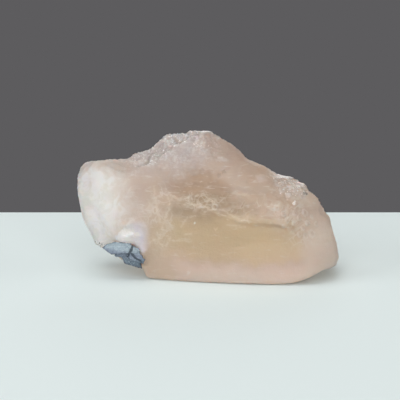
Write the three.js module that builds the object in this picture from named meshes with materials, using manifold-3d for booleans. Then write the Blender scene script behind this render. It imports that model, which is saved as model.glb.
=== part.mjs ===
// A rough piece of morganite, the pink variety of beryl, lying as found on the flat spot under it.
// It is one broken, etched crystal, with a scrap of its blue-grey host rock left in a pocket at the left.
// Millimetres, +Z up, the best side towards -Y. The origin is under the middle, on the resting surface.

import * as THREE from "three";
import { ConvexGeometry } from "three/addons/geometries/ConvexGeometry.js";
import { ImprovedNoise } from "three/addons/math/ImprovedNoise.js";
import { mergeVertices } from "three/addons/utils/BufferGeometryUtils.js";
import Module from "manifold-3d";

// Driving sizes
const LENGTH = 70; // from the left tip to the right tip
const DRAWN_LENGTH = 70; // the same length as everything below draws it
const VIEW_TILT = THREE.MathUtils.degToRad(12); // how far above level the outlines are seen from
const ROCK_GAP = 0.3; // air left between the crystal and the host rock
const SKIN_DETAIL = 20; // how finely the crystal's skin is divided

const { clamp, mapLinear, smoothstep } = THREE.MathUtils;
const at = (x, y, z) => new THREE.Vector3(x, y, z);
const points = (pairs) => pairs.map(([u, v]) => new THREE.Vector2(u, v));

// Outlines, seen from the front and VIEW_TILT above: across is x, and up is square to the line of sight.

const BELOW_ALL = -6; // lower than the foot's front edge appears
const stoneOutline = new THREE.Shape()
  .moveTo(-27.2, 5.4) // the left lobe's lowest point, beside the host rock
  .lineTo(-29.9, 8.1)
  .lineTo(-33.1, 14.4)
  .splineThru(points([[-34.3, 19.6], [-35.1, 23.9], [-34.6, 27.8], [-32.3, 30.2]])) // end of the left lobe
  .lineTo(-28.3, 30.3)
  .lineTo(-24.2, 30.8)
  .lineTo(-21.7, 31) // foot of the pitted slope
  .lineTo(-17.6, 33.2)
  .lineTo(-15, 34.1)
  .lineTo(-11.3, 37.4) // left end of the crest
  .lineTo(-6.8, 38.4)
  .lineTo(-1.9, 39.7)
  .lineTo(1.1, 39) // right end of the crest
  .lineTo(3.2, 37.1)
  .lineTo(6.7, 34.9)
  .lineTo(10.4, 30.6) // notch between the crest and the right shoulder
  .lineTo(14.7, 28.9)
  .lineTo(18.3, 26.9)
  .lineTo(21.9, 26)
  .lineTo(24.8, 24.7) // right shoulder
  .splineThru(points([[27.9, 22.4], [30.4, 18.8], [32.6, 14.6], [34.4, 9.2], [35.2, 4.4]])) // right end
  .lineTo(34.2, 2)
  .lineTo(26.5, -2.2)
  .lineTo(22, BELOW_ALL)
  .lineTo(-18, BELOW_ALL);

const pocketOutline = new THREE.Shape()
  .moveTo(-29, 4)
  .lineTo(-27.8, 7.1)
  .lineTo(-26.6, 8.5)
  .lineTo(-24.3, 9.1)
  .lineTo(-19.7, 8.5)
  .lineTo(-17.8, 7.1)
  .lineTo(-17.2, 4.4)
  .lineTo(-16.3, -1)
  .lineTo(-16, BELOW_ALL)
  .lineTo(-29, BELOW_ALL);

const CURVE_STEPS = 4; // straight steps in each span of a round stretch
const SAME_POINT = 1e-6;
const isNewCorner = (p, i, all) => i === 0 || p.distanceTo(all[i - 1]) > SAME_POINT;
const cornersOf = (outline) => outline.getPoints(CURVE_STEPS).filter(isNewCorner);
const stoneCorners = cornersOf(stoneOutline);
const pocketCorners = cornersOf(pocketOutline);

// Height of a place as the outlines show it.
const sightUp = (p) => p.z * Math.cos(VIEW_TILT) + p.y * Math.sin(VIEW_TILT);

// How far a point lies outside a closed outline. It is negative inside.
function distanceOutside(corners, u, v) {
  let nearest = Infinity;
  let inside = false;
  corners.forEach((a, i) => {
    const b = corners[(i + 1) % corners.length];
    const along = ((u - a.x) * (b.x - a.x) + (v - a.y) * (b.y - a.y)) / a.distanceToSquared(b);
    const share = clamp(along, 0, 1);
    nearest = Math.min(nearest, Math.hypot(a.x + share * (b.x - a.x) - u, a.y + share * (b.y - a.y) - v));
    if (a.y > v !== b.y > v && u < a.x + ((b.x - a.x) * (v - a.y)) / (b.y - a.y)) inside = !inside;
  });
  return inside ? -nearest : nearest;
}

// Break faces: each is flat, looks outwards along its normal, and meets the ones before it in a rounded edge.

const face = (normal, through, rounding = 1) => ({
  normal: normal.normalize(),
  offset: normal.dot(through),
  rounding,
});

const BREAK_FACES = [
  face(at(0, -0.045, -1), at(0, -5, 0), 0.1), // foot, rising to the front of the flat spot
  face(at(0.01, 0.12, -1), at(0, 5, 0), 0.1), // foot, rising to the back
  face(at(-0.03, 0.01, -1), at(-5, 0, 0), 0.1), // foot, rising to the left
  face(at(0.045, 0, -1), at(14, 0, 0), 0.1), // foot, rising to the right
  face(at(-0.15, -0.87, 0.43), at(8, -12.9, 17.5), 1.2), // upper front, left of the middle
  face(at(0.04, -0.89, 0.45), at(14, -13.7, 17.3), 1.2), // upper front, right of the middle
  face(at(0.2, -0.68, 0.72), at(16, -9.6, 24), 2), // right shoulder, towards the front
  face(at(0.45, -0.84, 0.26), at(24, -11.4, 14), 1.6), // front of the right end
  face(at(0.74, -0.6, 0.24), at(31.8, -6.2, 12), 1.6), // nose of the right end
  face(at(-0.3, -0.95, 0.08), at(-20, -8.6, 16), 1.4), // front of the left lobe
  face(at(-0.27, -0.93, -0.23), at(-16.2, -6.2, 0), 1.2), // front of the foot, leaning out over it
  face(at(-0.72, -0.66, 0.1), at(-32, -5.2, 20), 1.6), // nose of the left lobe
  face(at(-0.7, 0.7, 0.1), at(-32, 8, 20), 1.4), // back of the left lobe
  face(at(-0.3, 0.94, 0.08), at(-19, 14, 14), 1.4), // back, left
  face(at(0.06, 0.99, -0.1), at(0, 17, 12), 1.6), // back, middle
  face(at(0.3, 0.94, 0.12), at(16, 14.8, 12), 1.4), // back, right
  face(at(0.66, 0.7, 0.2), at(29, 9.5, 11), 1.6), // back of the right end
  face(at(-0.08, 0.74, 0.67), at(-5, 14.6, 28.6), 1.2), // behind the crest
  face(at(0.3, 0.62, 0.72), at(13, 11, 25.2), 1.4), // behind the right shoulder
  face(at(-0.1, 0.68, 0.72), at(-26, 8.6, 29), 1.2), // behind the left lobe's top
  face(at(0.31, 0.02, -0.95), at(25.8, 0, 0.3), 1), // underside of the right end
  face(at(0.02, 0.62, -0.78), at(0, 12, 0.8), 1.4), // underside of the back
  face(at(-0.42, 0.34, -0.84), at(-19, 4, 1.2), 1.4), // underside of the left lobe, at the back
];

// The smooth front below the ledge, which broke away a little deeper than the front above it.
const LEDGE = [[-40, 24.5], [-10, 22.6], [-3, 21.6], [4, 18.6], [9, 16.9], [19, 16.6], [25, 12.4], [40, 9]];
const LEDGE_SLANT = 0.7; // how far below the lip the ledge's slanted underside meets the lower front
const LEDGE_ROUNDING = 0.6;
const LOWER_FRONT = [face(at(-0.16, -0.985, 0.02), at(14, -13, 0)), face(at(0.02, -1, 0.04), at(14, -13, 0))];
const LOWER_FRONT_ROUNDING = 1.1;

// Cuts that stop at a second face: each takes away only what lies beyond both.
const CUT_ROUNDING = 0.5;
const STOPPED_CUTS = [
  // the pitted slope, as far as the lobe's top
  [face(at(-0.33, -0.5, 0.8), at(-13, 3, 34.9)), face(at(1, 0, 0), at(-23.5, 0, 0))],
  // the lobe's underside, as far as the foot's left wall
  [face(at(-0.45, -0.15, -0.88), at(-17, -5, 2.2)), face(at(-0.95, 0.3, -0.1), at(-16.3, -7, 0))],
];
const POCKET_FLOOR = face(at(-0.117, -0.922, -0.369), at(-17, -5, 9));

// Shell-shaped scars, each a shallow bite out of the skin by a ball.
const SCARS = [
  { centre: at(-20.3, -12.5, 12), radius: 6.6, rounding: 0.3 }, // the white chip over the host rock
  { centre: at(4, -39, 40), radius: 33.2, rounding: 1.2 }, // below the crest
  { centre: at(-20, 41, 30), radius: 30.4, rounding: 0.8 }, // back, left
  { centre: at(14, 40, 6), radius: 27.4, rounding: 0.8 }, // back, right
  { centre: at(26, 24, 32), radius: 20.8, rounding: 0.8 }, // behind the right shoulder
];

function smoothMax(a, b, rounding) {
  const overlap = Math.max(rounding - Math.abs(a - b), 0) / rounding;
  return Math.max(a, b) + (overlap * overlap * rounding) / 4;
}
const smoothMin = (a, b, rounding) => -smoothMax(-a, -b, rounding);
const beyond = ({ normal, offset }, p) => normal.dot(p) - offset;

// Height of a line drawn through points, at a given x. Its last stretch runs on past its end.
function heightAlong(line, x) {
  const reached = line.findIndex(([end]) => end >= x);
  const next = reached > 0 ? reached : line.length - 1;
  const [[x0, z0], [x1, z1]] = [line[next - 1], line[next]];
  return mapLinear(x, x0, x1, z0, z1);
}

// How far a point lies outside the crystal before its skin is roughened. It is negative inside.
function outsideFaces(p) {
  const outline = distanceOutside(stoneCorners, p.x, sightUp(p));
  const broken = BREAK_FACES.reduce((d, f) => smoothMax(d, beyond(f, p), f.rounding), outline);
  const lowerFront = smoothMax(beyond(LOWER_FRONT[0], p), beyond(LOWER_FRONT[1], p), LOWER_FRONT[1].rounding);
  const belowLedge = heightAlong(LEDGE, p.x) - p.z + lowerFront - LEDGE_SLANT;
  const underLedge = smoothMin(lowerFront, belowLedge, LEDGE_ROUNDING);
  const withLedge = smoothMax(broken, underLedge, LOWER_FRONT_ROUNDING);
  const inPocket = -distanceOutside(pocketCorners, p.x, sightUp(p));
  const cuts = STOPPED_CUTS.map(([cut, stop]) => smoothMin(beyond(cut, p), beyond(stop, p), CUT_ROUNDING));
  cuts.push(smoothMin(beyond(POCKET_FLOOR, p), inPocket, CUT_ROUNDING));
  const cut = cuts.reduce((d, taken) => smoothMax(d, taken, CUT_ROUNDING), withLedge);
  return SCARS.reduce((d, scar) => smoothMax(d, scar.radius - p.distanceTo(scar.centre), scar.rounding), cut);
}

// Relief of the skin: swells and lumps all over, growth steps along the stone, and pits on the crest and the
// right shoulder. The front below the ledge is calmer, by the share that each kind of relief is quieted.

const BROAD = { size: 13, height: 0.75, seed: 3.1, quieted: 0.5 };
const LUMPS = { size: 5.2, height: 0.34, seed: 11.7, quieted: 0.7 };
const GROWTH_STEPS = { length: 17, spacing: 2.6, height: 0.34, quieted: 0.8 };
const PITS = { size: 2.7, height: 1.15, seed: 23.9, fadeIn: 2, shoulderShare: 0.5 };
const CREST_FOOT = [[-40, 40], [-23, 29.6], [-20, 27.5], [-12, 27.6], [-3, 33], [4, 35.6], [40, 60]];
const SHOULDER_FOOT = [[-40, 60], [16, 30], [22, 24.2], [29, 17.5], [40, 0]];
const LEDGE_FADE = 1; // above and below the ledge, where the calm front gives way to the rough one
const CLEAR_OF_FOOT = 3; // the height at which the relief is at its full strength

const noise = new ImprovedNoise();
const bumps = (p, { size, height, seed }) => height * noise.noise(p.x / size + seed, p.y / size, p.z / size);

function growthSteps(p, { length, spacing, height }) {
  return height * noise.noise(p.x / length, p.y / spacing, p.z / spacing);
}

function pittedAbove(line, p) {
  const foot = heightAlong(line, p.x);
  return smoothstep(sightUp(p), foot, foot + PITS.fadeIn);
}

function relief(p) {
  const ledge = heightAlong(LEDGE, p.x);
  const calm = p.y < 0 ? 1 - smoothstep(p.z, ledge - LEDGE_FADE, ledge + LEDGE_FADE) : 0;
  const pitted = Math.max(pittedAbove(CREST_FOOT, p), PITS.shoulderShare * pittedAbove(SHOULDER_FOOT, p));
  const swells = bumps(p, BROAD) * (1 - BROAD.quieted * calm);
  const lumps = bumps(p, LUMPS) * (1 - LUMPS.quieted * calm);
  const steps = growthSteps(p, GROWTH_STEPS) * (1 - GROWTH_STEPS.quieted * calm);
  return smoothstep(p.z, 0, CLEAR_OF_FOOT) * (swells + lumps + steps + bumps(p, PITS) * pitted);
}

// The crystal's skin: a ball drawn in along lines to the heart of the stone until it fits.

const HEART = at(0, 0, 17); // a point well inside, from which all of the skin can be seen
const BALL_STRETCH = at(1.5, 0.9, 1); // spreads the divisions evenly over a long stone
const REACH = 60; // further out than any part of the skin
const HALVINGS = 26; // steps that close in on the skin along one line
const REST_ROUNDING = 0.05; // of the edge round the flat spot that the stone rests on
const FLAT_SNAP = 1e-4; // what lies this close to the resting surface is on it

function skinAlong(direction, grownBy) {
  const place = new THREE.Vector3();
  let near = 0;
  let far = REACH;
  for (let i = 0; i < HALVINGS; i++) {
    const half = (near + far) / 2;
    place.copy(HEART).addScaledVector(direction, half);
    const outside = smoothMax(outsideFaces(place) - relief(place), -place.z, REST_ROUNDING);
    if (outside > grownBy) far = half;
    else near = half;
  }
  return place.copy(HEART).addScaledVector(direction, near);
}

function mergedGeometry(geometry) {
  const bare = geometry.clone();
  bare.deleteAttribute("normal");
  bare.deleteAttribute("uv");
  return mergeVertices(bare);
}

function crystalSkin(grownBy) {
  const skin = mergedGeometry(new THREE.IcosahedronGeometry(1, SKIN_DETAIL));
  const position = skin.getAttribute("position");
  const direction = new THREE.Vector3();
  for (let i = 0; i < position.count; i++) {
    direction.fromBufferAttribute(position, i).multiply(BALL_STRETCH).normalize();
    const { x, y, z } = skinAlong(direction, grownBy);
    position.setXYZ(i, x, y, Math.abs(z) < FLAT_SNAP ? 0 : z);
  }
  return skin;
}

// Host rock: three angular scraps, broken along different planes and grown together, seated in the pocket.
// Their far corners reach into the crystal, which then trims them back to the gap.

const ROCK_SLAB = [
  at(-28, -5.4, 8.4), at(-26.6, -5.9, 9.7), at(-24.3, -6.6, 10.5), at(-20, -7.4, 10),
  at(-25.4, -7, 6.9), at(-22, -8.3, 7.4), at(-20.4, -8.4, 7.6),
  at(-26.4, -3.6, 6.6), at(-21, -4, 6.4), at(-26, -1, 9), at(-19, -1, 10),
];
const ROCK_BLOCK = [
  at(-21.4, -7.6, 7.6), at(-20.2, -7.6, 9.8), at(-17.4, -7.9, 8.6), at(-15.6, -8.1, 6.2),
  at(-20.8, -7.3, 5.6), at(-18.4, -8.4, 5), at(-15.4, -7.2, 4.2), at(-20, -2, 9), at(-15, -2, 8),
];
const ROCK_FOOT = [
  at(-23.4, -5.6, 6.6), at(-20.6, -6.9, 6.4), at(-17.4, -7.6, 5.6), at(-15.6, -6.8, 5),
  at(-22, -5.6, 4), at(-18.6, -6.2, 3.1), at(-15.4, -6, 2.4), at(-23, -1, 7), at(-15, -1, 6),
];

const wasm = await Module();
wasm.setup();

function solidOf(geometry) {
  const merged = mergedGeometry(geometry);
  const vertProperties = new Float32Array(merged.getAttribute("position").array);
  const triVerts = new Uint32Array(merged.index.array);
  return new wasm.Manifold(new wasm.Mesh({ numProp: 3, vertProperties, triVerts }));
}

function geometryOf(solid) {
  const { vertProperties, triVerts } = solid.getMesh();
  return new THREE.BufferGeometry()
    .setAttribute("position", new THREE.BufferAttribute(vertProperties, 3))
    .setIndex(new THREE.BufferAttribute(triVerts, 1));
}

function hostRock() {
  const scraps = [ROCK_SLAB, ROCK_BLOCK, ROCK_FOOT].map((corners) => solidOf(new ConvexGeometry(corners)));
  const trimmed = scraps.reduce((a, b) => a.add(b)).subtract(solidOf(crystalSkin(ROCK_GAP)));
  const [largest] = trimmed.decompose().sort((a, b) => b.volume() - a.volume());
  return geometryOf(largest);
}

const morganiteFinish = new THREE.MeshStandardMaterial({ color: 0xd9bda6, roughness: 0.45, metalness: 0 });
const hostRockFinish = new THREE.MeshStandardMaterial({ color: 0x82929c, roughness: 0.85, metalness: 0 });

function piece(name, geometry, finish) {
  geometry.computeVertexNormals();
  const mesh = new THREE.Mesh(geometry, finish);
  mesh.name = name;
  return mesh;
}

const stone = new THREE.Group();
stone.add(piece("morganite_crystal", crystalSkin(0), morganiteFinish));
stone.add(piece("host_rock_scrap", hostRock(), hostRockFinish));

// The stone is drawn about its heart, so it is sized, and centred over the origin, last.
stone.scale.setScalar(LENGTH / DRAWN_LENGTH);
stone.updateMatrixWorld(true);
const middle = new THREE.Box3().setFromObject(stone, true).getCenter(new THREE.Vector3());
stone.position.set(-middle.x, -middle.y, 0);

export default stone;
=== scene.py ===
# A rough piece of morganite with a scrap of its host rock, lying on a plain pale shelf.
# Metres, +Z up, the stone's best side towards -Y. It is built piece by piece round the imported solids.

import math

import bpy
import numpy as np
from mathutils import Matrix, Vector


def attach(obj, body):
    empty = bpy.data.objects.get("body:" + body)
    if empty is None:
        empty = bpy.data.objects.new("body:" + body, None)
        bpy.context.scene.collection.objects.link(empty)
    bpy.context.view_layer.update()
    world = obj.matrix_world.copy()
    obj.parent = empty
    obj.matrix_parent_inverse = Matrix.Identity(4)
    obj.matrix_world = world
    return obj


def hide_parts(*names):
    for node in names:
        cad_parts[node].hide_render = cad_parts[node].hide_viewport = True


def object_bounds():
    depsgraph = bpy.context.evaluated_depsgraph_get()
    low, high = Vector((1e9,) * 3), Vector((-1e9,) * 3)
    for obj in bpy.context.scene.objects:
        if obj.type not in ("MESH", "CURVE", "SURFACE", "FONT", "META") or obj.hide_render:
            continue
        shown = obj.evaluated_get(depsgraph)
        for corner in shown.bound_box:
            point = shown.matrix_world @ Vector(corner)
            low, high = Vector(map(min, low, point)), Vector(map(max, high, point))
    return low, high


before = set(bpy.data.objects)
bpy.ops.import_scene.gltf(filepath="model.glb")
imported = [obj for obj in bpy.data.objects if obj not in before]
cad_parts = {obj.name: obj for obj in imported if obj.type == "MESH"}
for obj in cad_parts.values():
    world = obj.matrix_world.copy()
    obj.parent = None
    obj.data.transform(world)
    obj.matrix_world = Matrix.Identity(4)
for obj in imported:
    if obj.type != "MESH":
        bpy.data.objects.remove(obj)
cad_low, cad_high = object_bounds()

# Morganite: one broken, etched crystal of pink beryl, translucent like frosted glass. Its skin was dissolved
# into pits on the crest and the right shoulder, and is lined by growth steps elsewhere. The left lobe is
# milky, a honey band runs through the lower half, and pale veils of healed cracks hang along the ledge.

MM = 0.001
VIEW_TILT = math.radians(12)  # how far above level the stone is seen from
SKIN_MESH = 0.31 * MM  # the size of the skin's mesh
SHARPENED = 0.9  # how far the break edges are drawn out
FOOT_DEPTH = 0.06 * MM  # what is lower than this lies flat on the shelf
WEIGHT_STEPS = 50
STEP_REACH = 0.0101  # a little over half a weight step, so that no weight falls between two


def smooth_step(low, high, values):
    share = np.clip((values - low) / (high - low), 0, 1)
    return share * share * (3 - 2 * share)


def only_select(piece):
    bpy.ops.object.select_all(action="DESELECT")
    piece.select_set(True)
    bpy.context.view_layer.objects.active = piece


def copy_of_node(node, name):
    """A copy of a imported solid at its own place, with its loose triangles merged."""
    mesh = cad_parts[node].data.copy()
    mesh.materials.clear()
    piece = bpy.data.objects.new(name, mesh)
    bpy.context.scene.collection.objects.link(piece)
    only_select(piece)
    bpy.ops.mesh.customdata_custom_splitnormals_clear()
    bpy.ops.object.mode_set(mode="EDIT")
    bpy.ops.mesh.select_all(action="SELECT")
    bpy.ops.mesh.remove_doubles(threshold=0.001 * MM)
    bpy.ops.object.mode_set(mode="OBJECT")
    return piece


def finish_modifier(piece, kind, **settings):
    only_select(piece)
    modifier = piece.modifiers.new(kind.title(), kind)
    for setting, value in settings.items():
        setattr(modifier, setting, value)
    bpy.ops.object.modifier_apply(modifier=modifier.name)


def places_of(piece):
    places = np.empty(len(piece.data.vertices) * 3, np.float32)
    piece.data.vertices.foreach_get("co", places)
    return places.reshape(-1, 3).astype(float)


def move_to(piece, places):
    piece.data.vertices.foreach_set("co", places.astype(np.float32).ravel())
    piece.data.update()


def store_share(piece, name, shares):
    """Keeps a number for each point of the mesh, for the piece's finish to read."""
    attribute = piece.data.attributes.new(name, "FLOAT", "POINT")
    attribute.data.foreach_set("value", np.asarray(shares, np.float32))


def off_lines(x, z, lines):
    """How far each point is from the nearest of some lines of points, in millimetres."""
    nearest = np.full(len(x), 99.0)
    for line in lines:
        for (x0, z0), (x1, z1) in zip(line, line[1:]):
            run, rise = x1 - x0, z1 - z0
            along = np.clip(((x - x0) * run + (z - z0) * rise) / (run ** 2 + rise ** 2), 0, 1)
            nearest = np.minimum(nearest, np.hypot(x - x0 - along * run, z - z0 - along * rise))
    return nearest


def weight_group(piece, name, weights):
    group = piece.vertex_groups.new(name=name)
    for step in range(1, WEIGHT_STEPS + 1):
        level = step / WEIGHT_STEPS
        chosen = np.nonzero(np.abs(weights - level) <= STEP_REACH)[0]
        if len(chosen):
            group.add(chosen.tolist(), level, "REPLACE")
    return group.name


def raise_by(piece, group, direction, height):
    finish_modifier(
        piece, "DISPLACE", strength=height, mid_level=0, direction=direction, vertex_group=group
    )


def emboss(piece, kind, size, strength, group="", level=0.5, along=None, **settings):
    """Raises a pattern out of the skin. An empty given as along stretches and turns the pattern."""
    texture = bpy.data.textures.new(kind.title(), kind)
    texture.noise_scale = size
    for setting, value in settings.items():
        setattr(texture, setting, value)
    coordinates = dict(texture_coords="LOCAL")
    if along is not None:
        coordinates = dict(texture_coords="OBJECT", texture_coords_object=along)
    finish_modifier(
        piece, "DISPLACE", texture=texture, strength=strength, mid_level=level,
        vertex_group=group, **coordinates
    )


morganite = copy_of_node("morganite_crystal", "morganite")
bpy.ops.object.mode_set(mode="EDIT")
bpy.ops.mesh.select_all(action="SELECT")
bpy.ops.mesh.subdivide(number_cuts=1, smoothness=1)
bpy.ops.mesh.subdivide(number_cuts=1, smoothness=1)
bpy.ops.object.mode_set(mode="OBJECT")
finish_modifier(morganite, "REMESH", mode="VOXEL", voxel_size=SKIN_MESH, use_smooth_shade=True)
finish_modifier(morganite, "SMOOTH", factor=0.5, iterations=3)

# Its break edges are sharp: each point moves away from where a much smoother stone would have it. The
# left half of the crest's ridge is left as it is, because it is etched away.
before = places_of(morganite)
finish_modifier(morganite, "SMOOTH", factor=0.5, iterations=24)
rounded = places_of(morganite)
lean = np.empty(rounded.size, np.float32)
morganite.data.vertices.foreach_get("normal", lean)
faces_up = smooth_step(0.3, 0.75, lean.reshape(-1, 3)[:, 2].astype(float))
on_ridge = smooth_step(28 * MM, 33 * MM, before[:, 2]) * smooth_step(4 * MM, -2 * MM, before[:, 0])
sharpened = before + (SHARPENED - SHARPENED * on_ridge)[:, None] * (before - rounded)

# Flat breaks on the left lobe: each a point on the break, the way it faces, and how far it reaches
BREAKS = [
    ((-30.55, -6.35, 18.5), (-0.55, -0.82, -0.12), 9),
    ((-32.2, -2.4, 28.6), (-0.68, -0.3, 0.67), 6),
]
DEEPEST_CUT = 0.8 * MM
for on_break, facing, reach in BREAKS:
    facing = np.array(facing) / np.linalg.norm(facing)
    off_break = sharpened - np.array(on_break) * MM
    proud = np.clip(off_break @ facing, 0, DEEPEST_CUT)
    near = smooth_step(reach, 0.8 * reach, np.linalg.norm(off_break, axis=1) / MM)
    sharpened -= 0.9 * (proud * near)[:, None] * facing
move_to(morganite, sharpened)

# Where the skin is pitted, calm or lined. Places are in millimetres, and the feet of the pitted zones are
# lines across the stone as it is seen, so their heights are taken along the tilted view.
x, y, z = places_of(morganite).T / MM
shown_height = z * math.cos(VIEW_TILT) + (y + 1.8) * math.sin(VIEW_TILT)
crest_foot = np.interp(x, [-23, -20, -12, -3, 4, 8], [30.6, 28.5, 28.6, 33.5, 35.6, 40])
shoulder_foot = np.interp(x, [14, 22, 29, 40], [32, 24.2, 18.5, 4])
clear_of_foot = smooth_step(0.2, 3, z)
pitted = np.maximum(
    smooth_step(0, 3.5, shown_height - crest_foot) * smooth_step(-24, -21, x),
    0.6 * smooth_step(0, 2, shown_height - shoulder_foot),
)
pitted = pitted * (1 - 0.6 * smooth_step(-11, -8, x) * smooth_step(37, 35, z) * smooth_step(10, 4, x))
calm_top = np.interp(x, [-10, 4, 19, 25, 40], [22.6, 18.6, 16.6, 12.4, 9])
calm = smooth_step(0, -2, z - calm_top) * (y < 0)
left_slope = smooth_step(-25, -21, x) * smooth_step(-8.5, -12, x) * smooth_step(22, 27, z)
lined = clear_of_foot * (1 - 0.75 * calm) * (1 - 0.6 * left_slope)
on_crest = smooth_step(-24, -21, x) * smooth_step(12, 6, x)
pits = weight_group(morganite, "pits", pitted * clear_of_foot * on_crest)
shoulder = weight_group(morganite, "shoulder", pitted * clear_of_foot * (1 - on_crest))

# The ridge, the slope to its left, the curve of the right end, the right foot and the scar over the rock
ridge_top = smooth_step(-14, -11, x) * smooth_step(2, -1, x) * smooth_step(31, 35, z)
ridge = weight_group(morganite, "ridge", ridge_top)
slope = weight_group(morganite, "left slope", left_slope)
right_curve = smooth_step(7, 2.5, np.hypot(x - 29, z - 21))
curve = weight_group(morganite, "right curve", right_curve)
right_foot = smooth_step(21, 27.5, x) * smooth_step(35, 29, x) * smooth_step(9, 2, z)
foot = weight_group(morganite, "right foot", right_foot)
in_scar = smooth_step(5.4, 1.8, np.hypot(x + 20.3, z - 12.4)) * (y < -4)
scar_fill = in_scar * smooth_step(8.6, 12.2, z) * (0.6 + 0.4 * smooth_step(16, 12, z))
scar = weight_group(morganite, "scar", scar_fill)

# Bubbles stand out of the skin near the right end and along the ledge: each a middle and a radius
BUBBLES = [
    (23.8, -12.9, 17.7, 0.8), (20.6, -14.5, 17.6, 0.8), (25.4, -10.9, 18.6, 1.1), (19.7, -14.4, 19.1, 0.8),
    (22.4, -13.1, 19.0, 0.8), (27.2, -10.2, 17.3, 0.8), (26.0, -11.9, 16.1, 0.8), (28.4, -10.3, 15.5, 0.8),
    (19.7, -15.6, 15.8, 0.8), (22.6, -14.2, 16.6, 0.8), (24.8, -12.8, 15.1, 0.8), (27.2, -11.5, 13.1, 1.1),
    (25.5, -12.9, 12.8, 0.8), (23.9, -13.9, 13.6, 0.8), (21.7, -8.7, 25.0, 0.8), (21.0, -10.6, 23.3, 0.8),
    (19.3, -10.1, 24.4, 0.8), (17.7, -13.9, 20.5, 0.8), (1.8, -12.4, 20.5, 0.8),
]
off_bubble = np.full(len(x), 9.0)
for bubble_x, bubble_y, bubble_z, radius in BUBBLES:
    away = np.sqrt((x - bubble_x) ** 2 + (y - bubble_y) ** 2 + (z - bubble_z) ** 2)
    off_bubble = np.minimum(off_bubble, away / radius)
bubbles = weight_group(morganite, "bubbles", np.sqrt(np.clip(1 - off_bubble ** 2, 0, 1)))
bumpy = smooth_step(1.05, 0.5, np.hypot((x - 23.5) / 8, (z - 19) / 9))
bumps = weight_group(morganite, "bumps", bumpy)

# The hollow under the ledge's lip is shallow, so it is filled a little before the growth lines are cut
ledge_height = np.interp(x, [-10, -3, 4, 9, 19, 25, 40], [22.6, 21.6, 18.6, 16.9, 16.6, 12.4, 9])
under_lip = smooth_step(-6, -1.5, z - ledge_height) * smooth_step(0.6, -0.4, z - ledge_height) * (y < -6)
under = weight_group(morganite, "under lip", under_lip * smooth_step(-14, -6, x) * smooth_step(31, 22, x))
raise_by(morganite, under, "Y", -0.32 * MM)
growth = weight_group(morganite, "growth", lined)
skin = weight_group(morganite, "skin", clear_of_foot)

# The growth lines run along the stone, three degrees off level
bed = bpy.data.objects.new("bed", None)
bpy.context.scene.collection.objects.link(bed)
bed.scale = (6, 1, 1)
bed.rotation_euler = (0, math.radians(3), 0)
bpy.context.view_layer.update()
emboss(morganite, "CLOUDS", 2.2 * MM, 0.34 * MM, growth, noise_depth=2, noise_type="HARD_NOISE")
emboss(morganite, "CLOUDS", 0.9 * MM, 0.2 * MM, growth, along=bed, noise_depth=2, noise_type="HARD_NOISE")
bpy.data.objects.remove(bed)

raise_by(morganite, ridge, "Z", 0.9 * MM)
raise_by(morganite, slope, "NORMAL", -0.5 * MM)
raise_by(morganite, curve, "NORMAL", -0.5 * MM)
raise_by(morganite, foot, "Z", 1.3 * MM)
raise_by(morganite, scar, "Y", -1.1 * MM)
raise_by(morganite, bubbles, "NORMAL", 0.22 * MM)

# Pits on the crest, deeper ones on the shoulder, bumps round the bubbles, and a fine frosting all over
emboss(morganite, "VORONOI", 0.8 * MM, 0.5 * MM, pits, level=0.3, distance_metric="CHEBYCHEV")
emboss(morganite, "VORONOI", 0.9 * MM, 0.5 * MM, shoulder, level=0.9, distance_metric="CHEBYCHEV")
emboss(morganite, "VORONOI", 1.3 * MM, -0.28 * MM, bumps, distance_metric="DISTANCE")
emboss(morganite, "CLOUDS", 0.8 * MM, 0.35 * MM, pits, noise_depth=1, noise_type="HARD_NOISE")
emboss(morganite, "CLOUDS", 0.7 * MM, 0.06 * MM, skin, noise_depth=1)

# It lies flat on its foot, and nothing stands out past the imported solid's box
places = places_of(morganite)
places[:, 2] = np.where(places[:, 2] < FOOT_DEPTH, 0, places[:, 2])
move_to(morganite, np.clip(places, np.array(cad_low), np.array(cad_high)))
bpy.ops.object.shade_smooth_by_angle(angle=math.radians(32))
store_share(morganite, "faces up", faces_up)
store_share(morganite, "over the ledge", np.where(y < 0, z - ledge_height, 30))
store_share(morganite, "off the bubbles", off_bubble)

# Threads of healed cracks that show on the front: each a line of points, as x and z
THREADS = [
    [(-11.1, 23.3), (-10.0, 21.6), (-10.3, 19.3), (-11.2, 17.7), (-11.7, 15.5), (-12.1, 14.2)],
    [(-14.3, 25.1), (-13.9, 22.6), (-13.5, 20.0), (-12.4, 15.9)],
    [(-9.8, 23.1), (-8.1, 22.3), (-6.1, 22.7), (-4.2, 22.6)],
    [(-7.0, 15.0), (-6.3, 16.3), (-5.5, 17.5), (-3.5, 18.0)],
    [(-6.3, 20.8), (-4.8, 21.4), (-3.1, 20.4), (-0.9, 20.6), (0.3, 22.2), (1.6, 21.7)],
    [(-1.0, 19.0), (0, 19.8), (2.1, 20.0), (4.2, 19.7), (5.3, 19.0), (7.2, 18.1), (8.7, 17.5), (10.2, 18.4)],
    [(6.6, 24.1), (8.3, 23.6), (10.6, 23.8)],
    [(-15.2, 10.6), (-13.9, 11.5), (-12.6, 10.4), (-12.0, 9.7), (-10.7, 10.0), (-9.9, 12.0)],
    [(-6.1, 13.1), (-4.4, 13.2)],
    [(-9.2, 11.2), (-6.8, 11.4), (-4.4, 11.2)],
    [(4.8, 15.9), (6.8, 16.0), (9.8, 15.6)],
    [(-13.6, 13.4), (-12.6, 12.4), (-13.1, 11.0)],
]
store_share(morganite, "off the threads", np.where(y < -3, off_lines(x, z, THREADS), 9))


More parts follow.
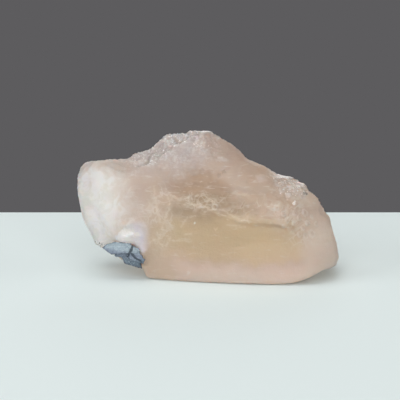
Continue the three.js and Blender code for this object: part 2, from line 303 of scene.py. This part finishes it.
class Finish:
    """The nodes of a material or of a node group, added one at a time."""

    def __init__(self, tree):
        self.tree = tree

    def add(self, kind, inputs=(), output=0, **settings):
        node = self.tree.nodes.new("ShaderNode" + kind)
        for setting, value in settings.items():
            setattr(node, setting, value)
        for socket, value in dict(inputs).items():
            self.feed(node.inputs[socket], value)
        return node.outputs[output]

    def feed(self, socket, value):
        if isinstance(value, bpy.types.NodeSocket):
            self.tree.links.new(value, socket)
        else:
            socket.default_value = value

    def math(self, operation, a, b=0.0):
        return self.add("Math", {0: a, 1: b}, operation=operation)

    def times(self, *shares):
        product = shares[0]
        for share in shares[1:]:
            product = self.math("MULTIPLY", product, share)
        return product

    def most(self, *shares):
        largest = shares[0]
        for share in shares[1:]:
            largest = self.math("MAXIMUM", largest, share)
        return largest

    def fade(self, value, low, high):
        inputs = {"Value": value, "From Min": low, "From Max": high}
        return self.add("MapRange", inputs, interpolation_type="SMOOTHSTEP")

    def stored(self, name):
        """A share that is kept on the mesh's points."""
        return self.add("Attribute", output=2, attribute_name=name)

    def noise(self, place, size, detail, roughness, distortion=0.0, stretch=(1, 1, 1), output=0):
        scaled = self.add("Mapping", {"Vector": place, "Scale": [1 / (size * s) for s in stretch]})
        inputs = {"Vector": scaled, "Scale": 1.0, "Detail": detail, "Roughness": roughness}
        return self.add("TexNoise", {**inputs, "Distortion": distortion}, output)

    def sway(self, place, size, detail, roughness, reach):
        """A soft noise that swings about nought, at most half its reach either way."""
        return self.times(self.math("SUBTRACT", self.noise(place, size, detail, roughness), 0.5), reach)

    def strayed(self, place, size, detail, roughness, reach):
        """Each place moved a little by a soft noise, so that what is drawn there gets an uneven outline."""
        by = self.noise(place, size, detail, roughness, output=1)
        by = self.add("VectorMath", {0: by, 1: (0.5, 0.5, 0.5)}, operation="SUBTRACT")
        by = self.add("VectorMath", {0: by, "Scale": reach}, operation="SCALE")
        return self.add("VectorMath", {0: place, 1: by}, operation="ADD")

    def spot(self, place, middle, reach):
        """A soft share, 1 inside the middle half of an egg and 0 outside it, all in millimetres."""
        scale = [1 / (r * MM) for r in reach]
        offset = [-m / r for m, r in zip(middle, reach)]
        local = self.add("Mapping", {"Vector": place, "Scale": scale, "Location": offset})
        return self.fade(self.add("VectorMath", {0: local}, 1, operation="LENGTH"), 1.0, 0.45)

    def spots(self, place, eggs):
        return self.most(*[self.spot(place, middle, reach) for middle, reach in eggs])

    def shift(self, place, by):
        return self.add("Mapping", {"Vector": place, "Location": (by, by, by)})

    def height(self, place, above):
        split = self.add("SeparateXYZ", {0: place}, 2)
        return self.math("SUBTRACT", split, above)

    def blend(self, share, first, second):
        return self.add("Mix", {0: share, 6: first, 7: second}, 2, data_type="RGBA")

    def effect(self, group, inputs):
        node = self.tree.nodes.new("ShaderNodeGroup")
        node.node_tree = group
        for socket, value in inputs.items():
            self.feed(node.inputs[socket], value)
        return node.outputs


def new_finish(name):
    """A new material, its node builder, and the inputs of its two standing nodes."""
    material = bpy.data.materials.new(name)
    material.use_nodes = True
    nodes = material.node_tree.nodes
    shader, output = nodes["Principled BSDF"], nodes["Material Output"]
    return material, Finish(material.node_tree), shader.inputs, output.inputs


def new_effect(name, inputs, outputs):
    """A node group with named sockets, for an effect that more than one material uses."""
    tree = bpy.data.node_groups.new(name, "ShaderNodeTree")
    for label, kind in inputs.items():
        tree.interface.new_socket(label, in_out="INPUT", socket_type="NodeSocket" + kind)
    for label, kind in outputs.items():
        tree.interface.new_socket(label, in_out="OUTPUT", socket_type="NodeSocket" + kind)
    inside = tree.nodes.new("NodeGroupInput").outputs
    return tree, Finish(tree), inside, tree.nodes.new("NodeGroupOutput").inputs


def tone(red, green, blue):
    """A colour as linear light, from the 0 to 255 values of a paint card."""
    def linear(value):
        share = value / 255
        return share / 12.92 if share <= 0.04045 else ((share + 0.055) / 1.055) ** 2.4
    return (linear(red), linear(green), linear(blue), 1.0)


# Cracks are sheets seen edge-on: each is crisp along one side and fades out on the other.
crack_sheets, nodes, given, result = new_effect(
    "crack sheets", {"Place": "Vector", "Size": "Float", "Width": "Float", "Waviness": "Float"},
    {"Sheets": "Float"},
)
per_size = nodes.math("DIVIDE", 1.0, given["Size"])
scaled = nodes.add("VectorMath", {0: given["Place"], "Scale": per_size}, operation="SCALE")
wavy = {"Vector": scaled, "Scale": 1.0, "Detail": 2.5, "Roughness": 0.55, "Distortion": given["Waviness"]}
field = nodes.add("TexNoise", wavy)
faint = nodes.fade(field, nodes.math("SUBTRACT", 0.5, given["Width"]), 0.5)
nodes.feed(result["Sheets"], nodes.times(faint, faint, nodes.fade(field, 0.515, 0.5)))

# The fine grain of a broken surface, as a share and as the bump that it makes
fine_grain, nodes, given, result = new_effect(
    "fine grain", {"Place": "Vector", "Size": "Float", "Strength": "Float", "Depth": "Float"},
    {"Grain": "Float", "Normal": "Vector"},
)
per_size = nodes.math("DIVIDE", 1.0, given["Size"])
scaled = nodes.add("VectorMath", {0: given["Place"], "Scale": per_size}, operation="SCALE")
field = nodes.add("TexNoise", {"Vector": scaled, "Scale": 1.0, "Detail": 3.0, "Roughness": 0.6})
nodes.feed(result["Grain"], field)
bump = nodes.add("Bump", {"Strength": given["Strength"], "Distance": given["Depth"], "Height": field})
nodes.feed(result["Normal"], bump)

# Pale edges, partly rubbed wear and partly a painted highlight, and hollows darkened as painted shade, from
# how sharply the surface turns
edges_and_hollows, nodes, given, result = new_effect(
    "edges and hollows", {"Pointiness": "Float", "Reach": "Float"}, {"Edges": "Float", "Hollows": "Float"}
)
for label, operation in [("Edges", "ADD"), ("Hollows", "SUBTRACT")]:
    end = nodes.math(operation, 0.5, given["Reach"])
    nodes.feed(result[label], nodes.fade(given["Pointiness"], 0.5, end))

stone_material, stone, stone_shader, stone_output = new_finish("frosted morganite")
place = stone.add("TexCoord", output=3)
across = stone.add("SeparateXYZ", {0: place})
drifted = stone.strayed(place, 7 * MM, 3, 0.6, 7 * MM)
ragged = stone.strayed(place, 0.9 * MM, 2, 0.6, 1.6 * MM)

# The left lobe's milk is curdled: white clots in a warmer, greyer milk
clots = stone.fade(stone.noise(place, 3.6 * MM, 3, 0.55, 1.2), 0.42, 0.6)
MILK = stone.blend(clots, tone(242, 236, 229), tone(254, 255, 255))
COOL_MILK = stone.blend(clots, tone(240, 243, 240), tone(255, 255, 255))

# Body colours, each a cloud in the stone: its middle, its reach along x, y and z, and how strong it is
BODY = tone(219, 198, 184)
CLOUDS = [
    ((-1.5, 0, 24.4), (10.5, 60, 6), tone(184, 148, 114), 0.75),  # the brown heart of the upper front
    ((0, 0, 20.4), (17.5, 60, 5), tone(172, 144, 108), 0.75),  # the tan band under it
    ((4.5, 0, 12), (28.5, 60, 9), tone(216, 192, 151), 0.85),  # the honey band
    ((16, 0, 9), (14, 60, 5), tone(233, 209, 173), 0.6),  # its brighter right half
    # The pink rim at the foot is partly the stone's own colour and partly painted light sent up into it by
    # the shelf
    ((8, 0, 0), (60, 60, 7.5), tone(248, 228, 216), 0.75),  # the pink rim at the foot
    ((-13, 0, 35), (18, 60, 8), tone(212, 200, 197), 0.9),  # the mauve crest
    ((-13, 0, 18), (6, 60, 11), tone(222, 202, 178), 0.5),  # the pale strip of curled veils
    ((-27, 0, 17), (14, 60, 14), MILK, 0.18),  # thin milk beside the lobe
    ((-34, 0, 19), (16, 60, 18), MILK, 0.95),  # the milky lobe
    ((-40, 0, 15), (20, 60, 21), COOL_MILK, 0.85),  # whiter and cooler at its far end
    ((-31.8, 0, 20), (3.2, 60, 6), tone(250, 248, 240), 0.7),  # its creamy left edge
    ((33, 0, 8), (12, 60, 14), tone(244, 230, 218), 0.85),  # the grey-pink right end
    ((-13, 0, 5), (8, 60, 8), tone(214, 196, 170), 0.5),  # a greyer corner beside the pocket
    ((17, 0, 26), (15, 60, 8), tone(210, 186, 164), 0.5),  # the glassy shoulder
    # The pale outer curve is a painted highlight on the shoulder's curve
    ((28, 0, 23.5), (5.5, 60, 6), tone(246, 232, 218), 0.6),  # its pale outer curve
]
body = BODY
for middle, reach, colour, strength in CLOUDS:
    body = stone.blend(stone.times(stone.spot(drifted, middle, reach), strength), body, colour)

# Veils: sheets of healed cracks where the stone is cloudy
VEILED = [
    ((-12, 0, 18), (7, 60, 12)), ((-2, 0, 22), (11, 60, 3.6)), ((11, 0, 20), (15, 60, 4)),
    ((24, 0, 17), (10, 60, 9)), ((-27, 0, 19), (13, 60, 12)),
]
LONG_CURLS = {"Place": place, "Size": 7 * MM, "Width": 0.1, "Waviness": 1.6}
SHORT_CURLS = {"Place": stone.shift(place, 31 * MM), "Size": 3.4 * MM, "Width": 0.14, "Waviness": 0.8}
veiled = stone.spots(drifted, VEILED)
long_curls = stone.effect(crack_sheets, LONG_CURLS)["Sheets"]
short_curls = stone.effect(crack_sheets, SHORT_CURLS)["Sheets"]
haze = stone.fade(stone.noise(place, 4 * MM, 5, 0.68, 0.8), 0.5, 0.8)
veils = stone.most(stone.times(long_curls, 0.5), stone.times(short_curls, 0.34), stone.times(haze, 0.36))
thick = stone.fade(stone.noise(stone.shift(place, 11 * MM), 6 * MM, 2, 0.5), 0.36, 0.6)
body = stone.blend(stone.times(veils, veiled, thick), body, tone(255, 250, 244))

# Single threads, frayed, with a faint pale band round each
off_threads = stone.stored("off the threads")
thread = stone.fade(stone.math("ADD", off_threads, stone.sway(place, 0.9 * MM, 2, 0.6, 1.1)), 0.42, 0.05)
body = stone.blend(stone.times(thread, 0.32), body, tone(255, 244, 230))
pale_band = stone.times(stone.fade(off_threads, 1.3, 0.2), 0.1)
body = stone.blend(pale_band, body, tone(244, 226, 206))

# The veil that hangs along the ledge, wavy and broken
waves = stone.sway(place, 3.2 * MM, 3, 0.6, 5.0)
off_veil = stone.math("ABSOLUTE", stone.math("ADD", stone.stored("over the ledge"), waves))
ledge_veil = stone.times(
    stone.fade(off_veil, 0.5, 0.1), stone.fade(stone.noise(place, 2.2 * MM, 2, 0.5), 0.42, 0.6),
    stone.spot(place, (3, -13, 20), (20, 12, 9)), 0.42,
)
body = stone.blend(ledge_veil, body, tone(255, 246, 236))

# Bubbles near the right end: pale rings round darker middles
off_bubbles = stone.math("ADD", stone.stored("off the bubbles"), stone.sway(place, 0.8 * MM, 2, 0.5, 0.9))
ring = stone.times(stone.fade(off_bubbles, 0.45, 0.8), stone.fade(off_bubbles, 1.2, 0.9))
body = stone.blend(stone.times(ring, 0.36), body, tone(255, 250, 246))
body = stone.blend(stone.times(stone.fade(off_bubbles, 0.6, 0.2), 0.2), body, tone(172, 152, 140))

# Flakes: short bright dashes along the stone's growth, brighter above the honey band
flake = stone.fade(stone.noise(place, 0.9 * MM, 3, 0.6, 0.5, (3.4, 2.4, 0.7)), 0.56, 0.76)
above_honey = stone.fade(stone.height(place, 16 * MM), 0, 4 * MM)
flaked = stone.math("ADD", stone.times(above_honey, 0.26), 0.3)
body = stone.blend(stone.times(flake, flaked), body, tone(255, 250, 246))

# The fresh chip over the host rock is white, and lilac on its right. It fades to the right and upwards.
chip = stone.add("VectorMath", {0: ragged, 1: (-20.3 * MM, -14.3 * MM, 12 * MM)}, 1, operation="DISTANCE")
right_of_crack = stone.add("VectorMath", {0: ragged, 1: (0.782, 0, -0.623)}, 1, operation="DOT_PRODUCT")
chip = stone.times(
    stone.fade(chip, 7.2 * MM, 6.4 * MM), stone.fade(right_of_crack, -26.6 * MM, -26.0 * MM),
    stone.fade(across, -14.6 * MM, -18.4 * MM), stone.fade(stone.height(place, 16.9 * MM), 0, -2 * MM),
)
chip_foot = stone.fade(stone.height(ragged, 13.8 * MM), 1.6 * MM, -1.6 * MM)
chip = stone.times(chip, stone.math("ADD", stone.times(chip_foot, 0.35), 0.65))
lilac = stone.fade(across, -20.5 * MM, -18.5 * MM)
body = stone.blend(chip, body, stone.blend(lilac, tone(246, 248, 252), tone(241, 240, 254)))

# Single marks on the front: each a ragged egg, with its colour and how strong it is
# Where a painted glint sits on the shoulder, used in the marks and in the painted glow
PAINTED_GLINT = (22.5, -11.7, 21.3)
LOBE_CLOT = ((-29.1, -4.3, 26.3), (2.6, 4, 3.4))
MARKS = [
    ((25.6, -8.3, 23.2), (1.1, 1.2, 0.5), tone(104, 90, 74), 0.9),  # a dark grain on the shoulder
    ((4.2, -8.7, 29.1), (1, 1.4, 0.7), tone(150, 130, 108), 0.4),  # two brown dots in the upper front
    ((2.9, -9, 28.2), (0.9, 1.4, 0.6), tone(150, 130, 108), 0.3),
    # a painted glint: a white spot where one facet would shine
    (PAINTED_GLINT, (0.45, 1, 0.7), tone(255, 255, 255), 0.8),
    ((3.7, -6.6, 31.9), (2.4, 1.8, 0.8), tone(255, 250, 248), 0.45),  # a white dab under the crest
    (*LOBE_CLOT, tone(253, 255, 255), 0.7),
    ((14.1, -9, 27.5), (2.2, 2, 1.8), tone(252, 236, 232), 0.45),  # a pink bead in the upper front
    ((-3.4, -12.2, 16.2), (0.45, 1, 0.45), tone(255, 252, 246), 0.9),  # two short flakes in the honey
    ((2, -12.5, 14.8), (1.1, 1.2, 0.6), tone(246, 226, 200), 0.6),
    ((-5, -12.3, 2.7), (0.5, 1, 0.9), tone(255, 246, 240), 0.6),  # and one in the pink rim
]
for middle, reach, colour, strength in MARKS:
    body = stone.blend(stone.times(stone.spot(ragged, middle, reach), strength), body, colour)

# Dark crumbs of host rock stick to the lobe's lowest point
crumbs = stone.fade(stone.noise(place, 0.45 * MM, 1, 0.5), 0.56, 0.6)
crumbs = stone.times(crumbs, stone.spot(place, (-29, -6.2, 8.9), (2.4, 3, 1.7)), 0.95)
body = stone.blend(crumbs, body, tone(34, 40, 38))

# The crest and the right shoulder are frosted. Their up-facing faces are whitened as a painted highlight, and
# painted glints stand where their etched facets would catch the light
TOPS = [((-12, 0, 36), (19, 60, 11)), ((23, 0, 27), (9, 60, 5.5))]
facing_up = stone.stored("faces up")
topped = stone.spots(drifted, TOPS)
frost_and_top_highlight = stone.times(facing_up, topped)
body = stone.blend(stone.times(frost_and_top_highlight, 0.2), body, tone(254, 253, 255))
painted_sparkle = stone.fade(stone.noise(place, 0.7 * MM, 2, 0.6), 0.5, 0.57)
painted_sparkle = stone.times(painted_sparkle, stone.math("ADD", stone.times(frost_and_top_highlight, 0.55), 0.1), topped)
body = stone.blend(painted_sparkle, body, tone(255, 255, 255))

# Painted glow: the emission paints faint light onto the chip and its facets, onto glints at single facets and
# along the crest's rim, onto a clot in the lobe and onto the lobe's far end
CHIP_FACETS = [((-22, -9.4, 12.3), (1.1, 2, 0.9)), ((-20.2, -9.6, 12.8), (1.4, 2, 0.6))]
cells = stone.add("TexVoronoi", {"Vector": ragged, "Scale": 1 / (1.2 * MM)}, "Color")
cells = stone.fade(stone.add("SeparateColor", {0: cells}), 0.4, 0.5)
chip_middle = stone.times(chip, stone.spot(ragged, (-20.8, -9.4, 11.4), (4.6, 5, 3.8)))
painted_glitter = stone.fade(stone.noise(place, 0.5 * MM, 1, 0.5), 0.64, 0.7)
top_rim = stone.fade(facing_up, 0.55, 1)
far_end = stone.spot(drifted, (-40, 0, 15), (20, 60, 21))
painted_glow = stone.most(
    stone.times(chip, 0.045),
    stone.times(chip_middle, cells, 0.12),
    stone.times(painted_glitter, frost_and_top_highlight, top_rim, 0.6),
    stone.times(stone.spot(ragged, PAINTED_GLINT, (0.3, 1, 0.5)), 0.45),
    stone.times(far_end, stone.math("ADD", stone.times(clots, 0.03), 0.006)),
    stone.times(stone.spots(ragged, CHIP_FACETS), 0.24),
    stone.times(stone.spot(ragged, *LOBE_CLOT), 0.07),
)
painted_glow_colour = stone.blend(painted_glow, (0, 0, 0, 1), tone(252, 252, 255))

# The etched tops have pale edges, partly rubbed wear and partly a painted highlight, and hollows darkened
# with painted shade
turns = {"Pointiness": stone.add("NewGeometry", output="Pointiness"), "Reach": 0.05}
wear_highlight_and_shade = stone.effect(edges_and_hollows, turns)
body = stone.blend(stone.times(wear_highlight_and_shade["Edges"], topped, 0.5), body, tone(255, 252, 248))
body = stone.blend(stone.times(wear_highlight_and_shade["Hollows"], topped, 0.1), body, tone(172, 152, 144))

# Beryl lets light in, scatters it on its veils and warms it, and its skin is rough
grain = stone.effect(fine_grain, {"Place": place, "Size": 0.5 * MM, "Strength": 0.6, "Depth": 0.25 * MM})
rough = stone.add("MapRange", {"Value": grain["Grain"], "To Min": 0.32, "To Max": 0.5})
for socket, value in {
    "Base Color": body, "Roughness": rough, "IOR": 1.58, "Transmission Weight": 0.64,
    "Subsurface Weight": 1.0, "Subsurface Radius": (1.0, 0.75, 0.6), "Subsurface Scale": 3 * MM,
    "Coat Weight": stone.times(frost_and_top_highlight, 0.9), "Coat Roughness": 0.15,
    "Emission Color": painted_glow_colour, "Emission Strength": 1.0, "Normal": grain["Normal"],
}.items():
    stone.feed(stone_shader[socket], value)
depth = stone.add("VolumeAbsorption", {"Color": (0.97, 0.91, 0.86, 1), "Density": 40.0})
stone.feed(stone_output["Volume"], depth)

morganite.data.materials.clear()
morganite.data.materials.append(stone_material)
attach(morganite, "root")
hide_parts("morganite_crystal")

# Host rock: a scrap of the blue-grey rock that the crystal grew round, left in a pocket under the lobe.
# It broke along flat planes, so it has a pale flat top, sharp edges and cracks; painted shade darkens its
# deep cracks, its hollows and its foot.

ROCK_MESH = 0.09 * MM  # the size of the rock's mesh
rock = copy_of_node("host_rock_scrap", "host_rock")

# Its slab and its block are one rock, so a bevelled core fills the notch between them
bpy.ops.object.select_all(action="DESELECT")
bpy.ops.mesh.primitive_cube_add(
    size=1, location=(-22.1 * MM, -7.5 * MM, 6.8 * MM), rotation=(math.radians(14), 0, math.radians(-12)),
    scale=(5.4 * MM, 3 * MM, 1.9 * MM),
)
core = bpy.context.active_object
bpy.ops.object.mode_set(mode="EDIT")
bpy.ops.mesh.select_all(action="SELECT")
bpy.ops.mesh.bevel(offset=0.5 * MM, segments=1, affect="EDGES")
bpy.ops.object.mode_set(mode="OBJECT")
only_select(rock)
core.select_set(True)
bpy.ops.object.join()
finish_modifier(rock, "REMESH", mode="VOXEL", voxel_size=ROCK_MESH, use_smooth_shade=True)
finish_modifier(rock, "SMOOTH", factor=0.5, iterations=5)

# Where its parts meet, cracks run: each a line of points across the front, as x and z
CRACKS = [
    [(-19.6, 10.4), (-20.1, 8.5), (-20.8, 7.6), (-21.3, 6.4)],
    [(-20.4, 7.6), (-18.9, 6.1), (-17.6, 5.5)],
]
x, y, z = places_of(rock).T / MM
cracked = smooth_step(0.17, 0.04, off_lines(x, z, CRACKS))
raise_by(rock, weight_group(rock, "cracks", cracked), "Y", 0.25 * MM)
emboss(rock, "CLOUDS", 2 * MM, 0.34 * MM, level=0.8, noise_depth=1, noise_type="HARD_NOISE")
emboss(rock, "CLOUDS", 0.7 * MM, 0.16 * MM, level=0.8, noise_depth=2, noise_type="HARD_NOISE")
bpy.ops.object.shade_smooth_by_angle(angle=math.radians(25))
store_share(rock, "crack depth", cracked)

# Mottled blue-grey with fine cracks; painted shade makes it bluer and darker under the slab, darker at the
# foot, in the deep cracks and in the hollows, and its broken edges are pale, partly as a painted highlight
rock_material, grey, grey_shader, _ = new_finish("blue-grey host rock")
place = grey.add("TexCoord", output=3)
across = grey.add("SeparateXYZ", {0: place})
mottle = grey.noise(place, 1.2 * MM, 4, 0.6, 0.3, (2.5, 1, 0.8))
colour = grey.blend(mottle, tone(112, 128, 139), tone(168, 180, 187))
# Painted shade: darker and bluer under the slab's edge, and darker at the foot
painted_shade_under_slab = grey.math("ADD", grey.height(place, 5.2 * MM), grey.times(across, 0.12))
colour = grey.blend(grey.fade(painted_shade_under_slab, 0.6 * MM, -0.6 * MM), colour, tone(116, 126, 141))
painted_foot_shade = grey.fade(grey.height(place, 6 * MM), 0.4 * MM, -0.8 * MM)
colour = grey.blend(painted_foot_shade, colour, tone(98, 111, 123))
fine_cracks = {"Place": place, "Size": 3.5 * MM, "Width": 0.05, "Waviness": 0.6}
sheets = grey.effect(crack_sheets, fine_cracks)["Sheets"]
colour = grey.blend(grey.times(sheets, 0.3), colour, tone(60, 70, 78))
# Painted shade darkens the deep cracks
colour = grey.blend(grey.times(grey.stored("crack depth"), 0.45), colour, tone(44, 52, 60))
# Pale broken edges, partly a painted highlight, and painted shade in the hollows
turns = {"Pointiness": grey.add("NewGeometry", output="Pointiness"), "Reach": 0.06}
wear_highlight_and_shade = grey.effect(edges_and_hollows, turns)
colour = grey.blend(grey.times(wear_highlight_and_shade["Edges"], 0.3), colour, tone(186, 198, 204))
colour = grey.blend(grey.times(wear_highlight_and_shade["Hollows"], 0.5), colour, tone(60, 70, 78))
grain = grey.effect(fine_grain, {"Place": place, "Size": 0.7 * MM, "Strength": 0.6, "Depth": 0.3 * MM})
rough = grey.add("MapRange", {"Value": grain["Grain"], "To Min": 0.6, "To Max": 0.85})
grey.feed(grey_shader["Base Color"], colour)
grey.feed(grey_shader["Roughness"], rough)
grey.feed(grey_shader["Normal"], grain["Normal"])

rock.data.materials.append(rock_material)
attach(rock, "root")
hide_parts("host_rock_scrap")

# Shelf, light and camera: a plain board painted a matt, cool off-white, which ends a little behind the stone,
# with plain grey beyond it, soft studio panels, and the camera at the height from which the stone is seen.

SHELF_BACK = 74 * MM
SHELF_DEPTH = 450 * MM
SHELF_THICKNESS = 30 * MM
bpy.ops.object.select_all(action="DESELECT")
bpy.ops.mesh.primitive_cube_add(size=1)
shelf = bpy.context.active_object
shelf.name = "shelf"
shelf.scale = (1.6, SHELF_DEPTH, SHELF_THICKNESS)
shelf.location = (0, SHELF_BACK - SHELF_DEPTH / 2, -SHELF_THICKNESS / 2)
bpy.ops.object.transform_apply(location=True, rotation=False, scale=True)
paint_material, paint, paint_shader, _ = new_finish("off-white paint")
paint.feed(paint_shader["Base Color"], tone(228, 239, 239))
paint.feed(paint_shader["Roughness"], 0.9)
paint.feed(paint_shader["Specular IOR Level"], 0.1)
shelf.data.materials.append(paint_material)

world = bpy.data.worlds.new("plain grey")
world.use_nodes = True
world.node_tree.nodes["Background"].inputs["Color"].default_value = tone(93, 92, 94)
bpy.context.scene.world = world


def soft_light(name, place, aim, width, power, colour):
    """A square panel that the camera doesn't see, its width in metres and its power in watts."""
    lamp = bpy.data.lights.new(name, "AREA")
    lamp.shape = "SQUARE"
    lamp.size = width
    lamp.energy = power
    lamp.color = colour
    holder = bpy.data.objects.new(name, lamp)
    holder.location = place
    holder.rotation_euler = (Vector(aim) - Vector(place)).to_track_quat("-Z", "Y").to_euler()
    holder.visible_camera = False
    bpy.context.scene.collection.objects.link(holder)


soft_light("sky panel", (-0.15, -0.1, 0.8), (0, 0, 0.02), 0.8, 3.3, (1, 0.99, 0.97))
soft_light("front fill", (0.0, -1.8, 0.7), (0, 0, 0.02), 1.8, 30.5, (1, 1, 1))
soft_light("left fill", (-0.85, -0.4, 0.2), (0, 0, 0.01), 0.6, 4.0, (1, 1, 1))
soft_light("right fill", (0.9, -0.1, 0.28), (0, 0, 0.01), 0.6, 1.8, (1, 0.97, 0.92))
soft_light("back fill", (0.1, 0.9, 0.4), (0, 0, 0.02), 0.6, 1.6, (1, 1, 1))

EYE_DISTANCE = 450  # in millimetres
lens = bpy.data.cameras.new("camera")
lens.lens = 151
lens.sensor_width = 36
camera = bpy.data.objects.new("camera", lens)
bpy.context.scene.collection.objects.link(camera)
sight = Vector((0, math.cos(VIEW_TILT), -math.sin(VIEW_TILT)))
aim = Vector((-2.09, 0.145, 19.68)) * MM
camera.location = aim - sight * EYE_DISTANCE * MM
camera.rotation_euler = sight.to_track_quat("-Z", "Y").to_euler()
bpy.context.scene.camera = camera
bpy.context.scene.view_settings.view_transform = "Standard"
